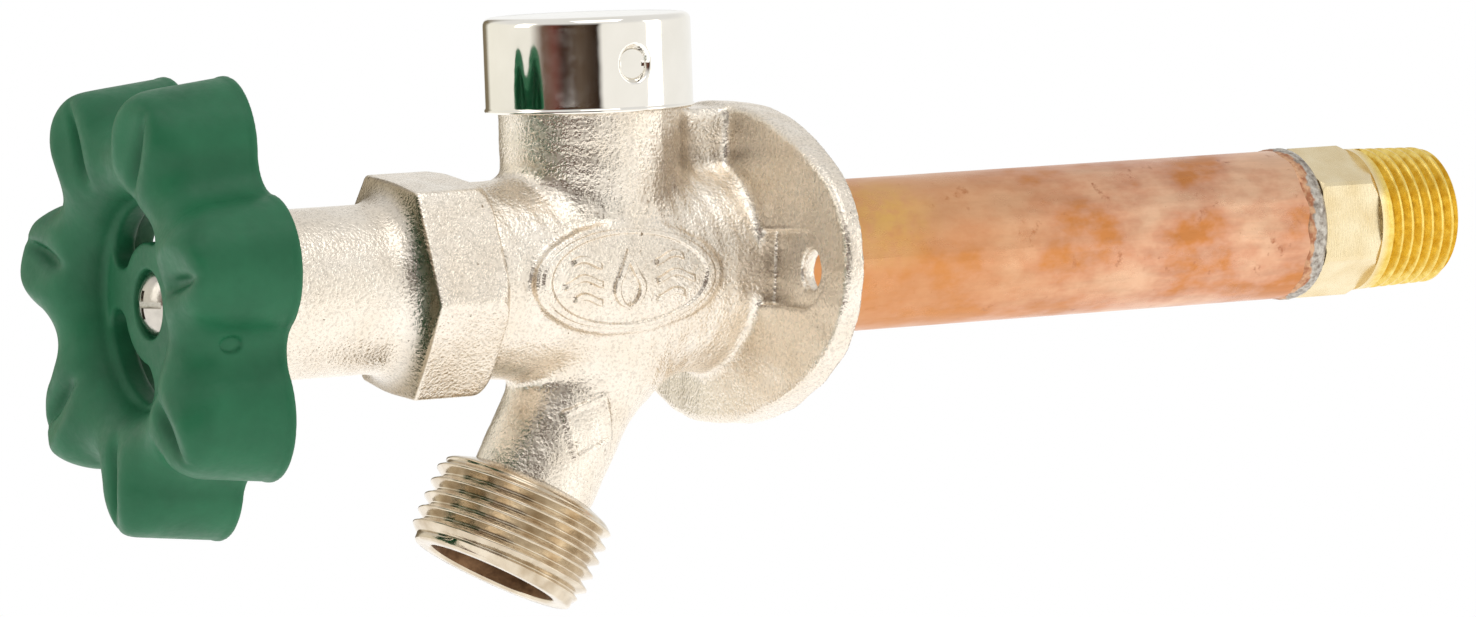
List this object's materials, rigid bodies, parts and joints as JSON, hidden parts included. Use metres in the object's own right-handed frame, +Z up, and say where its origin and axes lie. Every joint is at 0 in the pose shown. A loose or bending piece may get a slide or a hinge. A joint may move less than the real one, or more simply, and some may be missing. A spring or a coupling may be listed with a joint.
{
  "type": "hose bib",
  "caption": "Frost-free wall hydrant: lobed handwheel, valve body with flange, angled hose outlet and vacuum breaker, copper supply tube and threaded inlet.",
  "frame": {"origin": "on the supply tube's axis, at the flange's wall face", "axes": "+Y square into the wall, -Y towards the handle, +Z up (vacuum breaker), +X to the right seen from the handle; the supply tube rises 4.5 degrees into the wall"},
  "size_m": [0.074, 0.2208, 0.0865],
  "materials": {
    "nickel_casting": "nickel-plated cast brass, sand-textured",
    "chrome": "polished chrome plate",
    "green_enamel": "satin powder coat",
    "screw_steel": "bright plated steel",
    "copper": "drawn copper, lightly tarnished",
    "solder": "dull tin solder",
    "brass": "machined brass",
    "gland_packing": "white PTFE",
    "black_rubber": "moulded rubber",
    "breaker_plastic": "moulded acetal",
    "spring_steel": "stainless spring wire"
  },
  "bodies": {
    "hydrant": {"valve_body": "nickel_casting", "bonnet_nut": "nickel_casting", "bonnet_o_ring": "black_rubber", "stem_bushing": "brass", "packing_ring": "gland_packing", "packing_washer": "brass", "packing_retaining_ring": "spring_steel", "supply_tube": "copper", "body_solder_ring": "solder", "inlet_solder_ring": "solder", "inlet_fitting": "brass", "vacuum_breaker_seat": "brass", "vacuum_breaker_o_ring": "black_rubber", "vacuum_breaker_bonnet": "breaker_plastic", "vacuum_breaker_cap": "chrome", "cap_lock_screw": "chrome", "vacuum_breaker_spring": "spring_steel"},
    "stem": {"handle": "green_enamel", "handle_screw": "screw_steel", "operating_stem": "brass", "stem_rod": "copper", "stem_o_ring": "black_rubber", "rod_clip": "spring_steel"},
    "plug": {"washer_holder": "brass", "seat_washer": "black_rubber", "seat_washer_screw": "brass"},
    "poppet": {"vacuum_breaker_poppet": "breaker_plastic", "poppet_upper_seal": "black_rubber", "poppet_lower_seal": "black_rubber"}
  },
  "joints": [
    {"name": "stem_lift", "type": "slide", "parent": "hydrant", "child": "plug", "axis": [0, -0.9969, -0.0785], "range_m": [0, 0.005]},
    {"name": "handle_turn", "type": "hinge", "parent": "plug", "child": "stem", "pos_m": [0, 0, 0], "axis": [0, -0.9969, -0.0785], "range_deg": [0, 900]},
    {"name": "poppet_lift", "type": "slide", "parent": "hydrant", "child": "poppet", "axis": [0, -0.0785, 0.9969], "range_m": [0, 0.003], "stiffness_N_per_m": 20, "springref_m": -0.002, "deforming": ["vacuum_breaker_spring"]}
  ],
  "couplings": [
    {"joint": "stem_lift", "follows": "handle_turn", "m_per_rad": 0.0003183}
  ]
}
